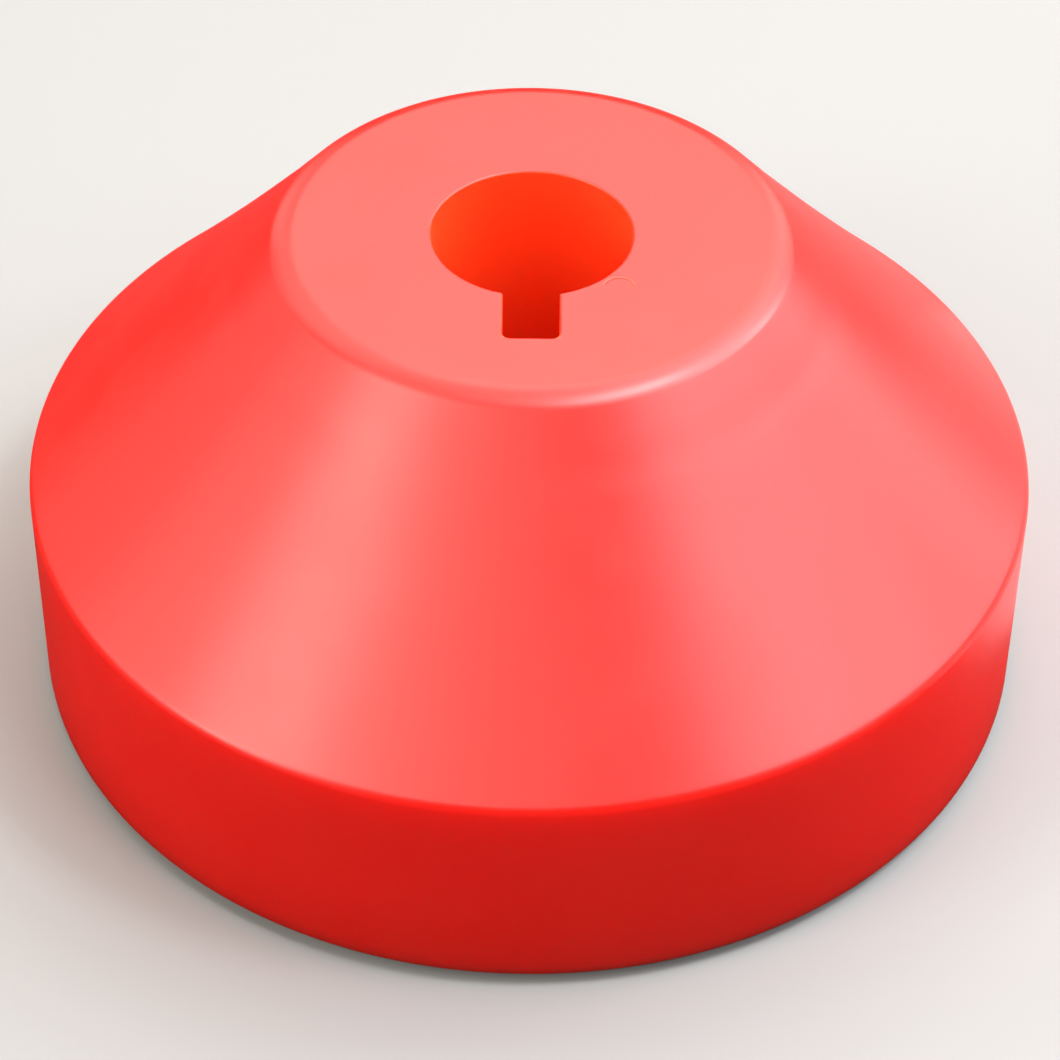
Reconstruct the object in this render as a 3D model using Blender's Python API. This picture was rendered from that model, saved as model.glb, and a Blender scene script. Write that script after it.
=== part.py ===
"""Vacuum suction cup: a cast polyurethane body with its soft base seal, stem O-ring and steel anchor ring.

Metres, +Z up. The origin is on the axis at the lowest face of the base seal ring. The slot is on the -Y side.
"""
import math

import bmesh
import bpy
from mathutils import Matrix, Vector

MM = 0.001

# Clearances between pieces that touch in the real cup
FIT_GAP = 0.3 * MM

# Cup body: rim and cone
RIM_DIAMETER = 155.0 * MM
RIM_HEIGHT = 34.5 * MM
BODY_HEIGHT = 77.0 * MM
TOP_DIAMETER = 75.0 * MM
TOP_EDGE_RADIUS = 5.0 * MM
CONE_SAG = 0.6 * MM
RIM_EDGE_RADIUS = 2.2 * MM
BASE_EDGE_RADIUS = 0.6 * MM

# Bore and its slot
BORE_DIAMETER = 30.0 * MM
BORE_EDGE_CHAMFER = 0.35 * MM
SLOT_WIDTH = 8.3 * MM
SLOT_BEYOND_BORE = 9.7 * MM
SLOT_CORNER_RADIUS = 1.3 * MM
SLOT_FLOOR_WALL = 4.5 * MM

# Base face: the wall outside the seal ring's groove, and the wall between the groove and the hollow
OUTER_BASE_WALL = 4.2 * MM
INNER_BASE_WALL = 4.7 * MM

# Hollow under the body
HOLLOW_WALL_TAPER = 2.0 * MM
HOLLOW_EDGE_DEPTH = 8.0 * MM
HOLLOW_CENTRE_DEPTH = 13.0 * MM
HOLLOW_FILLET = 3.0 * MM
LAND_MARGIN = 4.0 * MM

# Support ribs on the hollow's roof
RIB_COUNT = 12
RIB_WIDTH = 3.0 * MM
RIB_HEIGHT = 3.0 * MM
RIB_END_MARGIN = 2.0 * MM

# Base seal ring, in its groove in the base face
SEAL_WIDTH = 10.0 * MM
SEAL_HEIGHT = 9.0 * MM
SEAL_PROUD = 2.5 * MM
SEAL_LIP_RADIUS = 2.0 * MM
SEAL_ROOT_CHAMFER = 0.6 * MM

# Steel anchor ring, set flush in the hollow's land around the bore
ANCHOR_WIDTH = 14.5 * MM
ANCHOR_THICKNESS = 5.0 * MM
ANCHOR_BORE_CLEARANCE = 0.5 * MM
ANCHOR_EDGE_CHAMFER = 0.6 * MM
ANCHOR_HOLE_COUNT = 6
ANCHOR_HOLE_DIAMETER = 6.0 * MM

# Stem O-ring, in a groove in the bore between the slot's floor and the anchor ring
O_RING_SECTION = 3.5 * MM
O_RING_INTRUSION = 0.3 * MM
O_RING_GROOVE_WIDTH = 4.6 * MM
O_RING_OFFSET = 8.0 * MM

# Smoothness
TURN_STEPS = 72
HOLE_STEPS = 16
FILLET_STEPS = 4
EDGE_STEPS = 2
CONE_STEPS = 6
SLOT_CORNER_STEPS = 4
O_RING_SECTION_STEPS = 10
CUT_OVERRUN = 5.0 * MM

# Radii worked out from the sizes above
RIM_R = RIM_DIAMETER / 2
TOP_R = TOP_DIAMETER / 2
BORE_R = BORE_DIAMETER / 2
SLOT_REACH = BORE_R + SLOT_BEYOND_BORE
GROOVE_OUTER_R = RIM_R - OUTER_BASE_WALL
SEAL_OUTER_R = GROOVE_OUTER_R - FIT_GAP
SEAL_INNER_R = SEAL_OUTER_R - SEAL_WIDTH
GROOVE_INNER_R = SEAL_INNER_R - FIT_GAP
HOLLOW_MOUTH_R = GROOVE_INNER_R - INNER_BASE_WALL
HOLLOW_ROOF_R = HOLLOW_MOUTH_R - HOLLOW_WALL_TAPER
ANCHOR_INNER_R = BORE_R + ANCHOR_BORE_CLEARANCE
ANCHOR_OUTER_R = ANCHOR_INNER_R + ANCHOR_WIDTH
ANCHOR_PITCH_R = (ANCHOR_INNER_R + ANCHOR_OUTER_R) / 2
LAND_R = ANCHOR_OUTER_R + LAND_MARGIN
O_RING_CENTRE_R = BORE_R - O_RING_INTRUSION + O_RING_SECTION / 2

# Heights worked out from the sizes above
BASE_Z = SEAL_PROUD
TOP_Z = BASE_Z + BODY_HEIGHT
RIM_TOP_Z = BASE_Z + RIM_HEIGHT
LAND_Z = BASE_Z + HOLLOW_CENTRE_DEPTH
ANCHOR_SEAT_Z = LAND_Z + ANCHOR_THICKNESS + FIT_GAP
O_RING_Z = ANCHOR_SEAT_Z + O_RING_OFFSET
SLOT_FLOOR_Z = O_RING_Z + O_RING_GROOVE_WIDTH / 2 + SLOT_FLOOR_WALL


def make_material(name, colour, roughness, metallic=0.0):
    material = bpy.data.materials.new(name)
    material.use_nodes = True
    shader = material.node_tree.nodes["Principled BSDF"]
    shader.inputs["Base Color"].default_value = (*colour, 1.0)
    shader.inputs["Roughness"].default_value = roughness
    shader.inputs["Metallic"].default_value = metallic
    return material


def arc(centre, radius, start_deg, end_deg, steps):
    """Points of an arc in the radius-height plane, both ends included."""
    angles = [math.radians(start_deg + (end_deg - start_deg) * i / steps) for i in range(steps + 1)]
    return [(centre[0] + radius * math.cos(a), centre[1] + radius * math.sin(a)) for a in angles]


def fillet(before, corner, after, radius, steps=FILLET_STEPS):
    """Points of the round that replaces a corner between two straight stretches of a profile."""
    corner = Vector(corner)
    to_before = (Vector(before) - corner).normalized()
    to_after = (Vector(after) - corner).normalized()
    half_angle = to_before.angle(to_after) / 2
    centre = corner + (to_before + to_after).normalized() * radius / math.sin(half_angle)
    tangent = radius / math.tan(half_angle)
    spoke = corner + to_before * tangent - centre
    last = corner + to_after * tangent - centre
    sweep = spoke.angle_signed(last)
    return [tuple(centre + Matrix.Rotation(-sweep * i / steps, 2) @ spoke) for i in range(steps + 1)]


def sagging_line(start, end, sag):
    """Inner points of a very slightly hollow line between two corners of a profile."""
    start = Vector(start)
    along = Vector(end) - start
    inward = Vector((along.y, -along.x)).normalized()
    parts = [i / CONE_STEPS for i in range(1, CONE_STEPS)]
    return [tuple(start + along * t + inward * 4 * sag * t * (1 - t)) for t in parts]


def link(name, mesh, material=None):
    item = bpy.data.objects.new(name, mesh)
    bpy.context.scene.collection.objects.link(item)
    if material is not None:
        mesh.materials.append(material)
    return item


def revolve(name, profile, material=None):
    """A closed ring-shaped solid: the closed profile is turned once round the Z axis."""
    bm = bmesh.new()
    ring = [bm.verts.new((r, 0.0, z)) for r, z in profile]
    edges = [bm.edges.new((ring[i], ring[(i + 1) % len(ring)])) for i in range(len(ring))]
    bmesh.ops.spin(bm, geom=ring + edges, axis=(0, 0, 1), cent=(0, 0, 0), angle=2 * math.pi,
                   steps=TURN_STEPS, use_merge=True, use_duplicate=False)
    bmesh.ops.recalc_face_normals(bm, faces=bm.faces)
    mesh = bpy.data.meshes.new(name)
    bm.to_mesh(mesh)
    bm.free()
    return link(name, mesh, material)


def prism(name, outline, low_z, high_z):
    """A closed outline in the XY plane, extruded from low_z to high_z."""
    bm = bmesh.new()
    face = bm.faces.new([bm.verts.new((x, y, low_z)) for x, y in outline])
    raised = bmesh.ops.extrude_face_region(bm, geom=[face])
    moved = [g for g in raised["geom"] if isinstance(g, bmesh.types.BMVert)]
    bmesh.ops.translate(bm, verts=moved, vec=(0, 0, high_z - low_z))
    bmesh.ops.recalc_face_normals(bm, faces=bm.faces)
    mesh = bpy.data.meshes.new(name)
    bm.to_mesh(mesh)
    bm.free()
    return link(name, mesh)


def as_tool(item):
    item.hide_render = True
    item.display_type = 'WIRE'
    return item


def boolean(item, tool, operation):
    modifier = item.modifiers.new(f"{operation.lower()}_{tool.name}", 'BOOLEAN')
    modifier.operation = operation
    modifier.solver = 'EXACT'
    modifier.object = as_tool(tool)


def shade_round(item, sharp_deg=30.0):
    item.data.shade_smooth()
    item.data.set_sharp_from_angle(angle=math.radians(sharp_deg))


def anchor_discs(name, diameter, low_z, high_z):
    """Separate short cylinders where the anchor ring's holes are, as one tool."""
    bm = bmesh.new()
    for i in range(ANCHOR_HOLE_COUNT):
        angle = 2 * math.pi * (i + 0.5) / ANCHOR_HOLE_COUNT
        centre = Vector((math.cos(angle), math.sin(angle), 0)) * ANCHOR_PITCH_R
        centre.z = (low_z + high_z) / 2
        bmesh.ops.create_cone(bm, cap_ends=True, segments=HOLE_STEPS, radius1=diameter / 2,
                              radius2=diameter / 2, depth=high_z - low_z, matrix=Matrix.Translation(centre))
    mesh = bpy.data.meshes.new(name)
    bm.to_mesh(mesh)
    bm.free()
    return link(name, mesh)


# Cup body -----------------------------------------------------------------------------------------------------

def body_profile():
    """The turned section of the casting, bore wall included, without slot, ribs and anchor seat."""
    groove_z = SEAL_HEIGHT + FIT_GAP
    bore_top = (BORE_R, TOP_Z)
    top_corner = (TOP_R, TOP_Z)
    rim_corner = (RIM_R, RIM_TOP_Z)
    base_corner = (RIM_R, BASE_Z)
    groove_outer = (GROOVE_OUTER_R, BASE_Z)
    mouth = (HOLLOW_MOUTH_R, BASE_Z)
    roof_corner = (HOLLOW_ROOF_R, BASE_Z + HOLLOW_EDGE_DEPTH)
    land_edge = (LAND_R, LAND_Z)

    cone = sagging_line(top_corner, rim_corner, CONE_SAG)
    points = [(BORE_R + BORE_EDGE_CHAMFER, TOP_Z)]
    points += fillet(bore_top, top_corner, cone[0], TOP_EDGE_RADIUS)
    points += cone
    points += fillet(cone[-1], rim_corner, base_corner, RIM_EDGE_RADIUS, EDGE_STEPS)
    points += fillet(rim_corner, base_corner, groove_outer, BASE_EDGE_RADIUS, EDGE_STEPS)
    points += [groove_outer, (GROOVE_OUTER_R, groove_z), (GROOVE_INNER_R, groove_z), (GROOVE_INNER_R, BASE_Z)]
    points += [mouth]
    points += fillet(mouth, roof_corner, land_edge, HOLLOW_FILLET)
    points += [land_edge, (BORE_R, LAND_Z)]
    points += [(BORE_R, TOP_Z - BORE_EDGE_CHAMFER)]
    return points


def slot_outline():
    """The slot's outline, from inside the bore to its round-cornered end on the -Y side."""
    half = SLOT_WIDTH / 2
    corner_x = half - SLOT_CORNER_RADIUS
    corner_y = SLOT_CORNER_RADIUS - SLOT_REACH
    left = arc((-corner_x, corner_y), SLOT_CORNER_RADIUS, 180, 270, SLOT_CORNER_STEPS)
    right = arc((corner_x, corner_y), SLOT_CORNER_RADIUS, -90, 0, SLOT_CORNER_STEPS)
    return left + right + [(half, 0.0), (-half, 0.0)]


def make_rib_tool():
    """Radial ribs that stand down from the sloping roof of the hollow."""
    inner_r = LAND_R + RIB_END_MARGIN
    outer_r = HOLLOW_ROOF_R - HOLLOW_FILLET - RIB_END_MARGIN
    slope = (HOLLOW_CENTRE_DEPTH - HOLLOW_EDGE_DEPTH) / (HOLLOW_ROOF_R - LAND_R)

    def roof_z(radius):
        return BASE_Z + HOLLOW_EDGE_DEPTH + slope * (HOLLOW_ROOF_R - radius)

    side = [(inner_r, roof_z(inner_r) - RIB_HEIGHT), (outer_r, roof_z(outer_r) - RIB_HEIGHT),
            (outer_r, roof_z(outer_r) + RIB_HEIGHT), (inner_r, roof_z(inner_r) + RIB_HEIGHT)]
    bm = bmesh.new()
    for i in range(RIB_COUNT):
        turn = Matrix.Rotation(2 * math.pi * (i + 0.5) / RIB_COUNT, 4, 'Z')
        face = bm.faces.new([bm.verts.new(turn @ Vector((r, -RIB_WIDTH / 2, z))) for r, z in side])
        raised = bmesh.ops.extrude_face_region(bm, geom=[face])
        moved = [g for g in raised["geom"] if isinstance(g, bmesh.types.BMVert)]
        bmesh.ops.translate(bm, verts=moved, vec=turn @ Vector((0, RIB_WIDTH, 0)))
    bmesh.ops.recalc_face_normals(bm, faces=bm.faces)
    mesh = bpy.data.meshes.new("rib_tool")
    bm.to_mesh(mesh)
    bm.free()
    return link("rib_tool", mesh)


def make_anchor_seat_tool():
    """What the anchor ring takes out of the casting: its disc, less the studs cast through its holes."""
    top = ANCHOR_SEAT_Z
    low = LAND_Z - CUT_OVERRUN
    inner = BORE_R - CUT_OVERRUN
    outer = ANCHOR_OUTER_R + FIT_GAP
    seat = revolve("anchor_seat_tool", [(inner, low), (outer, low), (outer, top), (inner, top)])
    stud_diameter = ANCHOR_HOLE_DIAMETER - 2 * FIT_GAP
    boolean(seat, anchor_discs("stud_tool", stud_diameter, low - CUT_OVERRUN, top + CUT_OVERRUN), 'DIFFERENCE')
    return seat


def make_o_ring_groove_tool():
    inner = BORE_R - CUT_OVERRUN
    outer = O_RING_CENTRE_R + O_RING_SECTION / 2 + FIT_GAP
    low = O_RING_Z - O_RING_GROOVE_WIDTH / 2
    high = O_RING_Z + O_RING_GROOVE_WIDTH / 2
    return revolve("o_ring_groove_tool", [(inner, low), (outer, low), (outer, high), (inner, high)])


def make_cup_body():
    red = make_material("cast_polyurethane", (0.85, 0.035, 0.02), 0.35)
    body = revolve("cup_body", body_profile(), red)
    boolean(body, make_rib_tool(), 'UNION')
    boolean(body, make_anchor_seat_tool(), 'DIFFERENCE')
    boolean(body, make_o_ring_groove_tool(), 'DIFFERENCE')
    slot = prism("slot_tool", slot_outline(), SLOT_FLOOR_Z, TOP_Z + CUT_OVERRUN)
    boolean(body, slot, 'DIFFERENCE')
    shade_round(body)
    return body


# Pieces that fit the body -------------------------------------------------------------------------------------

def make_base_seal_ring():
    """Soft ring in the base groove; its rounded lower face stands proud of the body and meets the load."""
    black = make_material("soft_rubber", (0.02, 0.02, 0.022), 0.7)
    inner = SEAL_INNER_R
    outer = SEAL_OUTER_R
    points = [(inner, SEAL_HEIGHT - SEAL_ROOT_CHAMFER), (inner + SEAL_ROOT_CHAMFER, SEAL_HEIGHT),
              (outer - SEAL_ROOT_CHAMFER, SEAL_HEIGHT), (outer, SEAL_HEIGHT - SEAL_ROOT_CHAMFER)]
    points += fillet((outer, SEAL_HEIGHT), (outer, 0.0), (inner, 0.0), SEAL_LIP_RADIUS)
    points += fillet((outer, 0.0), (inner, 0.0), (inner, SEAL_HEIGHT), SEAL_LIP_RADIUS)
    ring = revolve("base_seal_ring", points, black)
    shade_round(ring)
    return ring


def make_anchor_ring():
    """Steel ring with holes that the casting locks into, lower face flush with the hollow's land."""
    steel = make_material("zinc_plated_steel", (0.62, 0.63, 0.65), 0.3, 1.0)
    inner = ANCHOR_INNER_R
    outer = ANCHOR_OUTER_R
    low = LAND_Z
    high = LAND_Z + ANCHOR_THICKNESS
    c = ANCHOR_EDGE_CHAMFER
    points = [(inner + c, high), (outer - c, high), (outer, high - c), (outer, low + c), (outer - c, low),
              (inner + c, low), (inner, low + c), (inner, high - c)]
    ring = revolve("anchor_ring", points, steel)
    holes = anchor_discs("anchor_hole_tool", ANCHOR_HOLE_DIAMETER, low - CUT_OVERRUN, high + CUT_OVERRUN)
    boolean(ring, holes, 'DIFFERENCE')
    shade_round(ring)
    return ring


def make_stem_o_ring():
    """O-ring that seals a stem below the slot; it stands a little into the bore."""
    black = make_material("nitrile_rubber", (0.015, 0.015, 0.016), 0.45)
    circle = arc((O_RING_CENTRE_R, O_RING_Z), O_RING_SECTION / 2, 0, 360, O_RING_SECTION_STEPS)[:-1]
    ring = revolve("stem_o_ring", circle, black)
    shade_round(ring, 60.0)
    return ring


def main():
    for item in list(bpy.data.objects):
        bpy.data.objects.remove(item)
    make_cup_body()
    make_base_seal_ring()
    make_anchor_ring()
    make_stem_o_ring()


main()
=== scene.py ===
import math

import bmesh
import bpy
from mathutils import Matrix, Vector


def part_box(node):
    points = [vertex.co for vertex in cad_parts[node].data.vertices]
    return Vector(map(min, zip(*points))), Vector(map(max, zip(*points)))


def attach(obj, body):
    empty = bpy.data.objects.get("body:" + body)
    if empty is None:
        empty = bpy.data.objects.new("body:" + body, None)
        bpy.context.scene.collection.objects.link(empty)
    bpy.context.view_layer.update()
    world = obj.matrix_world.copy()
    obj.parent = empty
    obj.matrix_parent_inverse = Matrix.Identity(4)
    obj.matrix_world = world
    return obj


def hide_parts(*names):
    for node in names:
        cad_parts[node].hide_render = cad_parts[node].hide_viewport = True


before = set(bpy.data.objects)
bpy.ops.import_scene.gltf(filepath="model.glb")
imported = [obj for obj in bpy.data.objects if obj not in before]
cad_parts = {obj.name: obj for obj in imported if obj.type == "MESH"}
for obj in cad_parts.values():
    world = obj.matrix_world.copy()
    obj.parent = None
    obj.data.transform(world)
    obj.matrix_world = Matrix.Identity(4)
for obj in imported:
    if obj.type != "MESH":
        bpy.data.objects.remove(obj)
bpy.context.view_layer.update()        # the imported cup: metres, +Z up, standing on its base seal ring
scene = bpy.context.scene
turnSteps = 240          # sides of every turned piece
sharpTurn = math.radians(60)
up = (0, 0, 1)
print("frame loaded:", ", ".join(sorted(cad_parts)))


def mm(value):
    return value / 1000


near = mm(0.02)          # two places this close are the same place


def colour(hexText):     # sRGB hex to the linear values that sockets take
    parts = [int(hexText[i:i + 2], 16) / 255 for i in (1, 3, 5)]
    return [c / 12.92 if c <= 0.04045 else ((c + 0.055) / 1.055) ** 2.4 for c in parts] + [1]


def addNode(tree, kind, inputs=None, **settings):
    node = tree.nodes.new(kind)
    for name, value in settings.items():
        setattr(node, name, value)
    for name, value in (inputs or {}).items():
        if isinstance(value, bpy.types.NodeSocket):
            tree.links.new(value, node.inputs[name])
        else:
            node.inputs[name].default_value = value
    return node


def newMaterial(name):
    material = bpy.data.materials.new(name)
    material.use_nodes = True
    tree = material.node_tree
    return material, tree, tree.nodes["Principled BSDF"]


def spinOnce(bm, outline):
    bmesh.ops.spin(bm, geom=outline, axis=up, cent=(0, 0, 0), angle=math.tau, steps=turnSteps,
                   use_merge=True, use_duplicate=False)
    bmesh.ops.recalc_face_normals(bm, faces=bm.faces)


def turned(section):     # a closed section of (radius, height), turned once round the axis
    bm = bmesh.new()
    corners = [bm.verts.new((r, 0, z)) for r, z in section]
    edges = [bm.edges.new(pair) for pair in zip(corners, corners[1:] + corners[:1])]
    spinOnce(bm, corners + edges)
    return bm


def repeated(bm, count):      # the same shape, evenly repeated round the axis
    bmesh.ops.spin(bm, geom=bm.verts[:] + bm.edges[:] + bm.faces[:], axis=up, cent=(0, 0, 0),
                   angle=math.tau * (count - 1) / count, steps=count - 1, use_duplicate=True)
    bmesh.ops.recalc_face_normals(bm, faces=bm.faces)


def addCylinder(bm, radius, low, high, reach, degreesRound):
    turn = Matrix.Rotation(math.radians(degreesRound), 4, 'Z')
    bmesh.ops.create_cone(bm, cap_ends=True, segments=40, radius1=radius, radius2=radius, depth=high - low,
                          matrix=turn @ Matrix.Translation((reach, 0, (low + high) / 2)))


def bevelEdges(bm, edges, offset, segments):
    bmesh.ops.bevel(bm, geom=edges, offset=offset, offset_type='OFFSET', affect='EDGES', segments=segments,
                    profile=0.5, material=-1)


def roundEdges(bm, edges, radius, segments):
    turn = edges[0].calc_face_angle()
    bevelEdges(bm, edges, radius * math.tan(turn / 2), segments)


def ringEdges(bm, radius, height):         # the edges of the circle at that radius and height
    onRing = {v for v in bm.verts if abs(v.co.xy.length - radius) < near and abs(v.co.z - height) < near}
    return [e for e in bm.edges if e.verts[0] in onRing and e.verts[1] in onRing]


def newPiece(name, bm):
    mesh = bpy.data.meshes.new(name)
    bm.to_mesh(mesh)
    bm.free()
    piece = bpy.data.objects.new(name, mesh)
    scene.collection.objects.link(piece)
    return piece


def combine(piece, tool, operation):       # Boolean, applied at once
    modifier = piece.modifiers.new(operation.lower(), 'BOOLEAN')
    modifier.operation = operation
    modifier.solver = 'EXACT'
    modifier.object = tool
    applyModifiers(piece)
    bpy.data.objects.remove(tool)


def applyModifiers(piece):
    graph = bpy.context.evaluated_depsgraph_get()
    mesh = bpy.data.meshes.new_from_object(piece.evaluated_get(graph))
    piece.modifiers.clear()
    piece.data = mesh


def finishPiece(piece, node, material, flatZ=None, sharpDegrees=35):
    piece.data.materials.clear()
    piece.data.materials.append(material)
    piece.data.shade_smooth()
    piece.data.set_sharp_from_angle(angle=math.radians(sharpDegrees))
    normals = piece.modifiers.new("flatNormals", 'WEIGHTED_NORMAL')   # large faces keep their own normal
    normals.keep_sharp = True
    applyModifiers(piece)
    if flatZ is not None:             # the flat top face shades as one plane, right up to its rounded edges
        mesh = piece.data
        corners = [c.vector.copy() for c in mesh.corner_normals]
        for i, loop in enumerate(mesh.loops):
            if abs(mesh.vertices[loop.vertex_index].co.z - flatZ) < near / 10:
                corners[i] = Vector(up)
        mesh.normals_split_custom_set(corners)
    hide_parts(node)
    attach(piece, "root")
    print(piece.name, "has", len(piece.data.polygons), "faces")


def turnedPlace(tree, place):    # distance from the axis, and a point that is the same all round the piece
    split = addNode(tree, "ShaderNodeSeparateXYZ", {0: place})
    flat = addNode(tree, "ShaderNodeVectorMath", {0: place, 1: (1, 1, 0)}, operation='MULTIPLY')
    radius = addNode(tree, "ShaderNodeVectorMath", {0: flat.outputs[0]}, operation='LENGTH').outputs["Value"]
    section = addNode(tree, "ShaderNodeCombineXYZ", {0: radius, 2: split.outputs[2]})
    return split, flat, radius, section.outputs[0]


# Cup body: one casting, its outer sizes taken from the frame and the rest in mm
bodyLow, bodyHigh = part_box("cup_body")
sealLow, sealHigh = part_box("base_seal_ring")
anchorLow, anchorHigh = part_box("anchor_ring")
oRingLow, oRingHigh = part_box("stem_o_ring")
gap = mm(0.3)            # between the casting and the pieces bonded or pressed into it
sealWidth = mm(10)
anchorBore = mm(15.5)    # radius
anchorHoles = 6
body = {
    "rimRadius": bodyHigh.x,
    "rimHeight": mm(34.5),
    "topRadius": mm(37.5),
    "boreRadius": mm(15),
    "baseZ": bodyLow.z,
    "topZ": bodyHigh.z,
    "topRound": mm(5),
    "coneSag": mm(0.6),
    "coneSteps": 64,
    "coneFirst": 4,           # steps left out at the top, where the edge's rounding starts
    "rimRound": mm(2.2),
    "baseRound": mm(0.6),
    "boreRound": mm(0.35),
    "grooveOuter": sealHigh.x + gap,
    "grooveInner": sealHigh.x - sealWidth - gap,
    "grooveTop": sealHigh.z + gap,
    "innerWall": mm(4.7),
    "wallTaper": mm(2),
    "roofEdge": mm(8),
    "roofRound": mm(3),
    "landRadius": anchorHigh.x + mm(4),
    "landZ": anchorLow.z,
    "seatRadius": anchorHigh.x + gap,
    "seatZ": anchorHigh.z + gap,
    "oGrooveRadius": oRingHigh.x + gap,
    "oGrooveZ": (oRingLow.z + oRingHigh.z) / 2,
    "oGrooveWidth": mm(4.6),
}
body["mouthRadius"] = body["grooveInner"] - body["innerWall"]
body["roofRadius"] = body["mouthRadius"] - body["wallTaper"]
ripple = {"radius": mm(45.2), "halfWidth": mm(3), "depth": mm(0.045)}     # shallow turned ring on the cone
slot = {"width": mm(8.3), "reach": mm(24.7), "corner": mm(1.3), "floorZ": bodyLow.z + mm(33.1),
        "above": mm(5)}
ribs = {"count": 12, "width": mm(3), "height": mm(3), "margin": mm(2), "round": mm(0.7)}
studs = {"radius": mm(2.7), "round": mm(0.3), "root": mm(1)}


def coneLine(b):         # the cone between its two edges: very slightly hollow, with the shallow ring in it
    top = Vector((b["topRadius"], b["topZ"]))
    along = Vector((b["rimRadius"], b["baseZ"] + b["rimHeight"])) - top
    inward = Vector((along.y, -along.x)).normalized()
    points = []
    for i in range(b["coneFirst"], b["coneSteps"] - 1):
        part = i / b["coneSteps"]
        onLine = top + along * part
        offRing = min(abs(onLine.x - ripple["radius"]) / ripple["halfWidth"], 1)
        sag = 4 * b["coneSag"] * part * (1 - part)
        depth = sag + ripple["depth"] * (1 + math.cos(math.pi * offRing)) / 2
        points.append(tuple(onLine + inward * depth))
    return points


def bodySection(b):
    oLow = b["oGrooveZ"] - b["oGrooveWidth"] / 2
    oHigh = b["oGrooveZ"] + b["oGrooveWidth"] / 2
    return [
        (b["boreRadius"], b["topZ"]),
        (b["topRadius"], b["topZ"]),
        *coneLine(b),
        (b["rimRadius"], b["baseZ"] + b["rimHeight"]),
        (b["rimRadius"], b["baseZ"]),
        (b["grooveOuter"], b["baseZ"]),
        (b["grooveOuter"], b["grooveTop"]),
        (b["grooveInner"], b["grooveTop"]),
        (b["grooveInner"], b["baseZ"]),
        (b["mouthRadius"], b["baseZ"]),
        (b["roofRadius"], b["baseZ"] + b["roofEdge"]),
        (b["landRadius"], b["landZ"]),
        (b["seatRadius"], b["landZ"]),
        (b["seatRadius"], b["seatZ"]),
        (b["boreRadius"], b["seatZ"]),
        (b["boreRadius"], oLow),
        (b["oGrooveRadius"], oLow),
        (b["oGrooveRadius"], oHigh),
        (b["boreRadius"], oHigh),
    ]


def makeRibs(b):         # radial support ribs standing down from the sloping roof of the hollow
    inner = b["landRadius"] + ribs["margin"]
    outer = b["roofRadius"] - b["roofRound"] - ribs["margin"]
    drop = b["landZ"] - (b["baseZ"] + b["roofEdge"])
    slope = math.atan2(drop, b["roofRadius"] - b["landRadius"])
    centre = (inner + outer) / 2
    roofZ = b["landZ"] - drop * (centre - b["landRadius"]) / (b["roofRadius"] - b["landRadius"])
    bm = bmesh.new()
    size = ((outer - inner) / math.cos(slope), ribs["width"], 2 * ribs["height"])
    bmesh.ops.create_cube(bm, size=1, matrix=Matrix.Diagonal((*size, 1)))
    low = [e for e in bm.edges if all(v.co.z < 0 for v in e.verts)]
    bevelEdges(bm, low, ribs["round"], 3)
    place = Matrix.Translation((centre, 0, roofZ)) @ Matrix.Rotation(slope, 4, 'Y')
    bmesh.ops.transform(bm, matrix=Matrix.Rotation(math.pi / ribs["count"], 4, 'Z') @ place, verts=bm.verts)
    repeated(bm, ribs["count"])
    return newPiece("ribTool", bm)


def makeStuds(b):        # the casting's plugs through the anchor ring's holes, flush with its lower face
    bm = bmesh.new()
    addCylinder(bm, studs["radius"], b["landZ"], b["seatZ"] + studs["root"], (anchorHigh.x + anchorBore) / 2,
                180 / anchorHoles)
    low = [e for e in bm.edges if all(v.co.z < b["landZ"] + near for v in e.verts)]
    bevelEdges(bm, low, studs["round"], 3)
    repeated(bm, anchorHoles)
    return newPiece("studTool", bm)


def makeSlotCutter(b):
    bm = bmesh.new()
    high = b["topZ"] + slot["above"]
    size = (slot["width"], slot["reach"], high - slot["floorZ"])
    place = Matrix.Translation((0, -slot["reach"] / 2, (high + slot["floorZ"]) / 2))
    bmesh.ops.create_cube(bm, size=1, matrix=place @ Matrix.Diagonal((*size, 1)))
    ends = [e for e in bm.edges if all(v.co.y < -slot["reach"] / 2 for v in e.verts)
            and abs(e.verts[0].co.z - e.verts[1].co.z) > near]
    bevelEdges(bm, ends, slot["corner"], 8)
    return newPiece("slotCutter", bm)


def mouthEdges(bm, b):   # the edge that bore and slot share with the top face
    return [e for e in bm.edges if all(abs(v.co.z - b["topZ"]) < near for v in e.verts)
            and len(e.link_faces) == 2 and e.calc_face_angle() > sharpTurn]


def clearSlotCorners(bm, b):     # takes out bore corners too close to the slot for the rounding
    mouthVerts = {v for e in mouthEdges(bm, b) for v in e.verts}
    onBore = [v for v in mouthVerts if abs(v.co.xy.length - b["boreRadius"]) < near]
    corners = [v for v in onBore if abs(abs(v.co.x) - slot["width"] / 2) < near / 2]
    crowded = [v for v in onBore if v not in corners
               and min((v.co - c.co).length for c in corners) < 2 * b["boreRound"]]
    spokes = {e for v in crowded for e in v.link_edges if e.other_vert(v) not in mouthVerts}
    bmesh.ops.dissolve_edges(bm, edges=list(spokes), use_verts=False)
    bmesh.ops.dissolve_verts(bm, verts=[v for v in crowded if v.is_valid])


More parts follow.
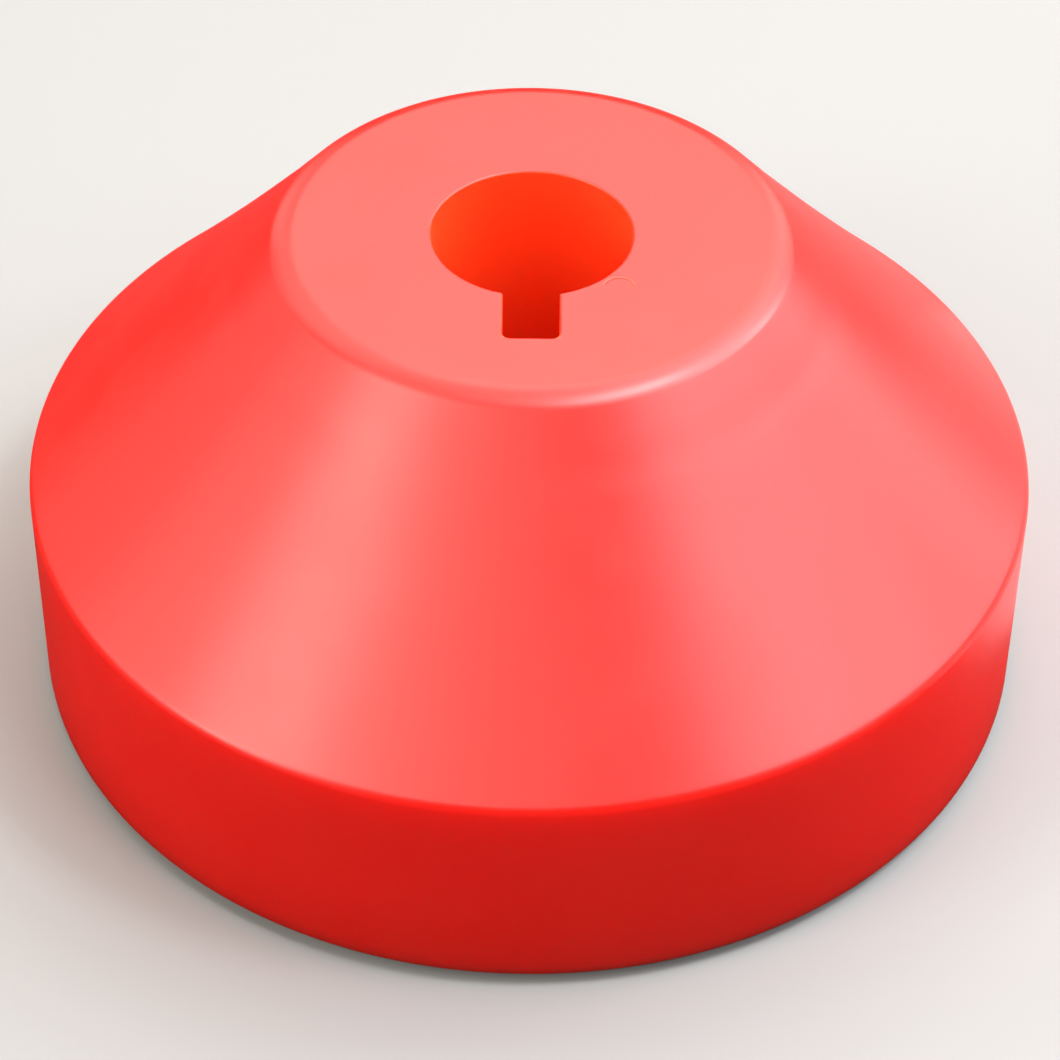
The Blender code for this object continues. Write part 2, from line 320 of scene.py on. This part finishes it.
def makeCupBody(b):
    bm = turned(bodySection(b))
    rimTop = b["baseZ"] + b["rimHeight"]
    roofZ = b["baseZ"] + b["roofEdge"]
    roundEdges(bm, ringEdges(bm, b["topRadius"], b["topZ"]), b["topRound"], 10)
    roundEdges(bm, ringEdges(bm, b["rimRadius"], rimTop), b["rimRound"], 5)
    roundEdges(bm, ringEdges(bm, b["rimRadius"], b["baseZ"]), b["baseRound"], 5)
    roundEdges(bm, ringEdges(bm, b["mouthRadius"], b["baseZ"]), b["baseRound"], 4)
    roundEdges(bm, ringEdges(bm, b["roofRadius"], roofZ), b["roofRound"], 8)
    piece = newPiece("cupBody", bm)
    combine(piece, makeRibs(b), 'UNION')
    combine(piece, makeStuds(b), 'UNION')
    combine(piece, makeSlotCutter(b), 'DIFFERENCE')

    bm = bmesh.new()
    bm.from_mesh(piece.data)
    clearSlotCorners(bm, b)
    roundEdges(bm, mouthEdges(bm, b), b["boreRound"], 4)
    bm.to_mesh(piece.data)
    bm.free()
    return piece


def castPolyurethane():
    # Cast polyurethane, about 85 Shore A: satin skin, and light soaks in, so edges glow; the bore's glow is
    # partly that and partly a painted glow on its walls
    settings = {
        "light": "#f81a0a",
        "deep": "#f61408",
        "boreGlow": "#f94a16",         # bore and slot walls: a lighter orange, a painted glow standing in for the light inside the bore
        "roughness": 0.38,
        "gloss": 0.9,             # released from a waxed mould, so it shines more than bare polyurethane
        "soak": mm(8),            # how far red light travels inside
        "soakByColour": (1, 0.12, 0.07),
        "ringPitch": mm(1.2),     # mould's turning marks
        "ringDepth": mm(0.02),
        "cloudSize": mm(14),
        "cloudRough": 0.03,
        "grainSize": mm(0.4),
        "grainDepth": mm(0.01),
        "nickCentre": (mm(12.8), mm(-12.93), 0),
        "nickRadius": mm(2.3),
        "nickWidth": mm(0.35),
        "nickDepth": mm(0.08),
        "nickFade": mm(1),
        "nickHighlightTint": "#fb5a3c",
        "nickHighlightAmount": 0.6,
        "wallMargin": mm(0.1),
    }
    material, tree, shader = newMaterial("castPolyurethane")
    place = addNode(tree, "ShaderNodeTexCoord").outputs["Object"]
    split, flat, radius, section = turnedPlace(tree, place)
    rings = addNode(tree, "ShaderNodeTexNoise", {"Vector": section, "Scale": 1 / settings["ringPitch"],
                                                 "Detail": 3, "Roughness": 0.6})
    clouds = addNode(tree, "ShaderNodeTexNoise", {"Vector": place, "Scale": 1 / settings["cloudSize"],
                                                  "Detail": 3, "Roughness": 0.55})
    grain = addNode(tree, "ShaderNodeTexNoise", {"Vector": place, "Scale": 1 / settings["grainSize"],
                                                 "Detail": 2})
    tint = addNode(tree, "ShaderNodeMix", {"Factor": clouds.outputs["Fac"], "A": colour(settings["deep"]),
                                           "B": colour(settings["light"])}, data_type='RGBA')
    rough = addNode(tree, "ShaderNodeMapRange", {"Value": clouds.outputs["Fac"],
                                                 "From Min": 0.3, "From Max": 0.7,
                                                 "To Min": settings["roughness"] - settings["cloudRough"],
                                                 "To Max": settings["roughness"] + settings["cloudRough"]})
    tree.links.new(rough.outputs[0], shader.inputs["Roughness"])

    # Bore and slot walls: everything inside the mouth's rounded edge, painted a lighter orange as a painted
    # glow
    margin = settings["wallMargin"]
    offAxis = addNode(tree, "ShaderNodeMath", {0: split.outputs[0]}, operation='ABSOLUTE')
    inSlot = addNode(tree, "ShaderNodeMath", {0: offAxis.outputs[0], 1: slot["width"] / 2 + margin},
                     operation='LESS_THAN')
    slotFront = addNode(tree, "ShaderNodeMath", {0: split.outputs[1], 1: -slot["reach"] - margin},
                        operation='GREATER_THAN')
    slotBack = addNode(tree, "ShaderNodeMath", {0: split.outputs[1], 1: 0.0}, operation='LESS_THAN')
    slotSides = addNode(tree, "ShaderNodeMath", {0: inSlot.outputs[0], 1: slotFront.outputs[0]},
                        operation='MULTIPLY')
    slotWall = addNode(tree, "ShaderNodeMath", {0: slotSides.outputs[0], 1: slotBack.outputs[0]},
                       operation='MULTIPLY')
    boreWall = addNode(tree, "ShaderNodeMath", {0: radius, 1: body["boreRadius"] + margin},
                       operation='LESS_THAN')
    wall = addNode(tree, "ShaderNodeMath", {0: slotWall.outputs[0], 1: boreWall.outputs[0]},
                   operation='MAXIMUM')
    # painted glow: the bore and slot walls take the lighter orange in place of the cloudy red
    paintedBoreGlow = addNode(tree, "ShaderNodeMix", {"Factor": wall.outputs[0], "A": tint.outputs[2],
                                             "B": colour(settings["boreGlow"])}, data_type='RGBA')

    # A crescent nick beside the bore: part of a narrow groove, only on its far side, with a painted
    # highlight along it as a paler tint
    fromNick = addNode(tree, "ShaderNodeVectorMath", {0: flat.outputs[0], 1: settings["nickCentre"]},
                       operation='SUBTRACT')
    nickReach = addNode(tree, "ShaderNodeVectorMath", {0: fromNick.outputs[0]}, operation='LENGTH')
    offRing = addNode(tree, "ShaderNodeMath", {0: nickReach.outputs["Value"], 1: settings["nickRadius"]},
                      operation='SUBTRACT')
    aside = addNode(tree, "ShaderNodeMath", {0: offRing.outputs[0]}, operation='ABSOLUTE')
    groove = addNode(tree, "ShaderNodeMapRange", {"Value": aside.outputs[0], "To Min": 1, "To Max": 0,
                                                  "From Max": settings["nickWidth"]},
                     interpolation_type='SMOOTHSTEP')
    nickSide = addNode(tree, "ShaderNodeSeparateXYZ", {0: fromNick.outputs[0]})
    farSide = addNode(tree, "ShaderNodeMapRange", {"Value": nickSide.outputs[1],
                                                   "From Max": settings["nickFade"]})
    onTop = addNode(tree, "ShaderNodeMath", {0: split.outputs[2], 1: body["topZ"] - body["boreRound"] / 2},
                    operation='GREATER_THAN')
    nickArc = addNode(tree, "ShaderNodeMath", {0: groove.outputs[0], 1: farSide.outputs[0]},
                      operation='MULTIPLY')
    nick = addNode(tree, "ShaderNodeMath", {0: nickArc.outputs[0], 1: onTop.outputs[0]},
                   operation='MULTIPLY')
    # painted highlight: the paler tint stands in for light caught by the nick's edge
    nickHighlight = addNode(tree, "ShaderNodeMath", {0: nick.outputs[0], 1: settings["nickHighlightAmount"]},
                         operation='MULTIPLY')
    nickHighlighted = addNode(tree, "ShaderNodeMix", {"Factor": nickHighlight.outputs[0], "A": paintedBoreGlow.outputs[2],
                                             "B": colour(settings["nickHighlightTint"])}, data_type='RGBA')
    tree.links.new(nickHighlighted.outputs[2], shader.inputs["Base Color"])

    ringBump = addNode(tree, "ShaderNodeBump", {"Height": rings.outputs["Fac"], "Strength": 0.3,
                                                "Distance": settings["ringDepth"]})
    grainBump = addNode(tree, "ShaderNodeBump", {"Height": grain.outputs["Fac"], "Strength": 0.25,
                                                 "Distance": settings["grainDepth"],
                                                 "Normal": ringBump.outputs[0]})
    nickBump = addNode(tree, "ShaderNodeBump", {"Height": nick.outputs[0], "Strength": 1,
                                                "Distance": settings["nickDepth"],
                                                "Normal": grainBump.outputs[0]}, invert=True)
    tree.links.new(nickBump.outputs[0], shader.inputs["Normal"])
    shader.inputs["Specular IOR Level"].default_value = settings["gloss"]
    shader.inputs["Subsurface Weight"].default_value = 1
    shader.inputs["Subsurface Radius"].default_value = settings["soakByColour"]
    shader.inputs["Subsurface Scale"].default_value = settings["soak"]
    return material


finishPiece(makeCupBody(body), "cup_body", castPolyurethane(), flatZ=body["topZ"])
print("cup body made")

# Base seal ring: soft moulded rubber, its rounded lower face on the floor
seal = {"outer": sealHigh.x, "inner": sealHigh.x - sealWidth, "low": sealLow.z, "high": sealHigh.z,
        "lipRound": mm(2), "rootRound": mm(0.6)}


def makeSealRing(s):
    bm = turned([(s["outer"], s["high"]), (s["outer"], s["low"]),
                 (s["inner"], s["low"]), (s["inner"], s["high"])])
    for r in (s["outer"], s["inner"]):
        roundEdges(bm, ringEdges(bm, r, s["low"]), s["lipRound"], 8)
        roundEdges(bm, ringEdges(bm, r, s["high"]), s["rootRound"], 3)
    return newPiece("baseSealRing", bm)


def softRubber():
    # Soft EPDM, compression moulded: matt, fine even grain, slightly dusty
    settings = {"base": "#1c1c1e", "dust": "#3a3937", "roughness": 0.72, "grainSize": mm(0.4),
                "grainDepth": mm(0.04), "dustSize": mm(9)}
    material, tree, shader = newMaterial("softRubber")
    place = addNode(tree, "ShaderNodeTexCoord").outputs["Object"]
    grain = addNode(tree, "ShaderNodeTexNoise", {"Vector": place, "Scale": 1 / settings["grainSize"],
                                                 "Detail": 3})
    dust = addNode(tree, "ShaderNodeTexNoise", {"Vector": place, "Scale": 1 / settings["dustSize"],
                                                "Detail": 6, "Roughness": 0.7})
    amount = addNode(tree, "ShaderNodeMapRange", {"Value": dust.outputs["Fac"], "From Min": 0.5,
                                                  "From Max": 0.8, "To Max": 0.5})
    tint = addNode(tree, "ShaderNodeMix", {"Factor": amount.outputs[0], "A": colour(settings["base"]),
                                           "B": colour(settings["dust"])}, data_type='RGBA')
    tree.links.new(tint.outputs[2], shader.inputs["Base Color"])
    bump = addNode(tree, "ShaderNodeBump", {"Height": grain.outputs["Fac"], "Strength": 0.4,
                                            "Distance": settings["grainDepth"]})
    tree.links.new(bump.outputs[0], shader.inputs["Normal"])
    shader.inputs["Roughness"].default_value = settings["roughness"]
    return material


finishPiece(makeSealRing(seal), "base_seal_ring", softRubber())

# Anchor ring: turned steel with six holes, flush in the underside
anchor = {"outer": anchorHigh.x, "inner": anchorBore, "low": anchorLow.z, "high": anchorHigh.z,
          "edgeRound": mm(0.6), "holeRadius": mm(3), "holePast": mm(5)}


def makeAnchorRing(a):
    bm = turned([(a["inner"], a["high"]), (a["outer"], a["high"]),
                 (a["outer"], a["low"]), (a["inner"], a["low"])])
    for r in (a["outer"], a["inner"]):
        for z in (a["low"], a["high"]):
            roundEdges(bm, ringEdges(bm, r, z), a["edgeRound"], 3)
    piece = newPiece("anchorRing", bm)
    bm = bmesh.new()
    addCylinder(bm, a["holeRadius"], a["low"] - a["holePast"], a["high"] + a["holePast"],
                (a["inner"] + a["outer"]) / 2, 180 / anchorHoles)
    repeated(bm, anchorHoles)
    combine(piece, newPiece("holeCutter", bm), 'DIFFERENCE')
    return piece


def zincPlatedSteel():
    # Turned steel with bright zinc: fine lathe rings, a faint blue and straw cast from the passivation
    settings = {"blue": "#b9bec8", "straw": "#c9c3b2", "roughness": 0.3, "ringPitch": mm(0.25),
                "ringDepth": mm(0.02), "castSize": mm(20)}
    material, tree, shader = newMaterial("zincPlatedSteel")
    place = addNode(tree, "ShaderNodeTexCoord").outputs["Object"]
    section = turnedPlace(tree, place)[-1]
    rings = addNode(tree, "ShaderNodeTexNoise", {"Vector": section, "Scale": 1 / settings["ringPitch"],
                                                 "Detail": 2})
    cast = addNode(tree, "ShaderNodeTexNoise", {"Vector": place, "Scale": 1 / settings["castSize"],
                                                "Detail": 2})
    tint = addNode(tree, "ShaderNodeMix", {"Factor": cast.outputs["Fac"], "A": colour(settings["blue"]),
                                           "B": colour(settings["straw"])}, data_type='RGBA')
    tree.links.new(tint.outputs[2], shader.inputs["Base Color"])
    bump = addNode(tree, "ShaderNodeBump", {"Height": rings.outputs["Fac"], "Strength": 0.35,
                                            "Distance": settings["ringDepth"]})
    tree.links.new(bump.outputs[0], shader.inputs["Normal"])
    shader.inputs["Metallic"].default_value = 1
    shader.inputs["Roughness"].default_value = settings["roughness"]
    return material


finishPiece(makeAnchorRing(anchor), "anchor_ring", zincPlatedSteel())

# Stem O-ring: nitrile, in its groove below the slot
oRing = {"section": (oRingHigh.z - oRingLow.z) / 2, "z": (oRingLow.z + oRingHigh.z) / 2}
oRing["radius"] = oRingHigh.x - oRing["section"]


def makeORing(o):
    bm = bmesh.new()
    place = Matrix.Translation((o["radius"], 0, o["z"])) @ Matrix.Rotation(math.pi / 2, 4, 'X')
    bmesh.ops.create_circle(bm, segments=32, radius=o["section"], matrix=place)
    spinOnce(bm, bm.verts[:] + bm.edges[:])
    return newPiece("stemORing", bm)


def nitrileRubber():
    # Nitrile O-ring, polished mould: near black with a soft sheen
    settings = {"base": "#161617", "roughness": 0.42, "roughBy": 0.06, "grainSize": mm(0.6)}
    material, tree, shader = newMaterial("nitrileRubber")
    place = addNode(tree, "ShaderNodeTexCoord").outputs["Object"]
    grain = addNode(tree, "ShaderNodeTexNoise", {"Vector": place, "Scale": 1 / settings["grainSize"],
                                                 "Detail": 2})
    rough = addNode(tree, "ShaderNodeMapRange", {"Value": grain.outputs["Fac"],
                                                 "To Min": settings["roughness"] - settings["roughBy"],
                                                 "To Max": settings["roughness"] + settings["roughBy"]})
    tree.links.new(rough.outputs[0], shader.inputs["Roughness"])
    shader.inputs["Base Color"].default_value = colour(settings["base"])
    return material


finishPiece(makeORing(oRing), "stem_o_ring", nitrileRubber(), sharpDegrees=60)
print("seals and anchor ring made")

# Floor, camera and light
room = {"pale": "#a2a1a0", "dark": "#343434", "floorSize": 6, "paleStrength": 0.85,
        "warm": "#fffaf0", "cool": "#f8fbff", "coolFrom": 40, "coolTo": 125}     # cool window on the right
view = {"place": (0, -0.41365, 0.39563), "pitch": 42.238, "turn": 0.027, "roll": 0.628, "lens": 119.33,
        "sensor": 36}
lampReach = 1.4
lampAim = Vector((0, 0, mm(40)))
lamps = {                # soft discs: degrees up, size across, and power by degrees round from the front
    "low": {"up": 14, "size": 0.6, "powers": {60: 1.5, 90: 1.4, 120: 2.7, 150: 2.3, 210: 1.5, 240: 1.0,
                                              270: 2.1, 300: 6.8}},
    "middle": {"up": 38, "size": 0.7, "powers": {0: 1.6, 60: 4.8, 90: 6.4, 120: 3.6, 150: 3.1, 180: 2.4,
                                                 210: 1.3, 240: 2.1, 300: 6.1, 330: 2.5}},
    "high": {"up": 60, "size": 0.85, "powers": {120: 5.4, 180: 5.3, 240: 3.2, 300: 0.9}},
    "ceiling": {"up": 80, "size": 0.9, "powers": {0: 3.4}},
    "edgeTop": {"up": 66, "size": 0.3, "powers": {45: 4.0}},
    "edgeMiddle": {"up": 62, "size": 0.3, "powers": {74: 7.5}},
    "edgeLow": {"up": 27, "size": 0.3, "powers": {110: 3.2}},
}
sheens = {               # bright patches of table on the right, mirrored in the rim and the cone
    "sheenRight": {"place": (mm(184), mm(49), mm(0.5)), "size": mm(220), "power": 0.09},
    "sheenBack": {"place": (mm(130), mm(240), mm(0.5)), "size": mm(300), "power": 0.1},
}


def makeFloor():         # pale to look at, but it throws little light back up at the cup
    bm = bmesh.new()
    bmesh.ops.create_grid(bm, x_segments=1, y_segments=1, size=room["floorSize"] / 2)
    floor = newPiece("floor", bm)
    material, tree, shader = newMaterial("paleFloor")
    seen = addNode(tree, "ShaderNodeLightPath").outputs["Is Camera Ray"]
    tone = addNode(tree, "ShaderNodeMix", {"Factor": seen, "A": colour(room["dark"]),
                                           "B": colour(room["pale"])}, data_type='RGBA')
    tree.links.new(tone.outputs[2], shader.inputs["Base Color"])
    shader.inputs["Roughness"].default_value = 1
    shader.inputs["Specular IOR Level"].default_value = 0
    floor.data.materials.append(material)


def makeRoom():
    scene.world = bpy.data.worlds.new("paleRoom")
    scene.world.use_nodes = True
    tree = scene.world.node_tree
    seen = addNode(tree, "ShaderNodeLightPath").outputs["Is Camera Ray"]
    strength = addNode(tree, "ShaderNodeMath", {0: seen, 1: room["paleStrength"]}, operation='MULTIPLY')
    tree.links.new(strength.outputs[0], tree.nodes["Background"].inputs["Strength"])
    tree.nodes["Background"].inputs["Color"].default_value = (1, 1, 1, 1)


def makeDisc(name, size, power, place, turn):
    light = bpy.data.lights.new(name, 'AREA')
    light.shape = 'DISK'
    light.size = size
    light.energy = power
    holder = bpy.data.objects.new(name, light)
    holder.location = place
    holder.rotation_euler = turn
    holder.visible_camera = False
    scene.collection.objects.link(holder)
    return light


def makeLamp(name, ring, degreesRound, power):
    turn, rise = math.radians(degreesRound), math.radians(ring["up"])
    direction = Vector((math.sin(turn) * math.cos(rise), -math.cos(turn) * math.cos(rise), math.sin(rise)))
    light = makeDisc(name, ring["size"], power, direction * lampReach + lampAim,
                     direction.to_track_quat('Z', 'Y').to_euler())
    cool = room["coolFrom"] < degreesRound < room["coolTo"]
    light.color = colour(room["cool"] if cool else room["warm"])[:3]


def makeCamera():
    data = bpy.data.cameras.new("camera")
    data.lens = view["lens"]
    data.sensor_width = view["sensor"]
    holder = bpy.data.objects.new("camera", data)
    pitch, turn, roll = (math.radians(view[k]) for k in ("pitch", "turn", "roll"))
    aim = Matrix.Rotation(-turn, 4, 'Z') @ Matrix.Rotation(math.pi / 2 - pitch, 4, 'X')
    holder.matrix_world = Matrix.Translation(view["place"]) @ aim @ Matrix.Rotation(roll, 4, 'Z')
    scene.collection.objects.link(holder)
    scene.camera = holder


makeFloor()
makeCamera()
for name, ring in lamps.items():
    for degreesRound, power in ring["powers"].items():
        makeLamp(f"{name}{degreesRound}", ring, degreesRound, power)
for name, sheen in sheens.items():
    makeDisc(name, sheen["size"], sheen["power"], sheen["place"], (math.pi, 0, 0))
makeRoom()
scene.view_settings.view_transform = 'Standard'
print("camera and light placed")
